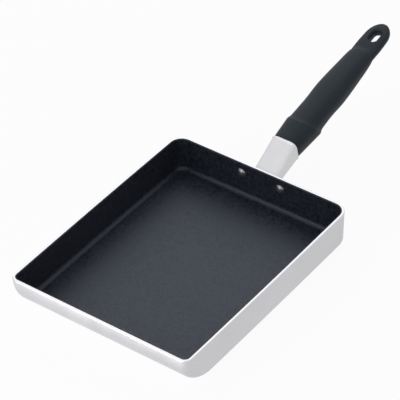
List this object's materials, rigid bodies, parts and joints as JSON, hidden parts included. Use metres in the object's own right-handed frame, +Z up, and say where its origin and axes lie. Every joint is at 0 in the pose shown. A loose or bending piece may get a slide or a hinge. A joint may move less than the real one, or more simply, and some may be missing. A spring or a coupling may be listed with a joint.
{
  "type": "rectangular omelette pan",
  "caption": "Rectangular pan with a curved front wall for rolled omelettes, a riveted bracket, a metal ferrule and a plastic handle with a hanging hole.",
  "frame": {"origin": "middle of the flat base, on the surface that the pan stands on", "axes": "+Y from the curved front wall to the handle, +Z up, +X across the pan"},
  "size_m": [0.148, 0.3506, 0.0629],
  "materials": {
    "pan_metal": "satin silver outside, bare rim",
    "coating": "dark non-stick coating with a soft sheen and a fine grain",
    "rivet_coated": "dark coated dome",
    "bracket_steel": "satin",
    "ferrule_metal": "satin silver sheet",
    "handle_plastic": "matte bluish black moulded plastic",
    "screw_steel": "bright zinc"
  },
  "bodies": {
    "root": {"pan_body": "pan_metal", "nonstick_coating": "coating", "rivets": "rivet_coated", "handle_bracket": "bracket_steel", "ferrule": "ferrule_metal", "handle": "handle_plastic", "spring_washer": "screw_steel", "handle_screw": "screw_steel"}
  },
  "joints": []
}
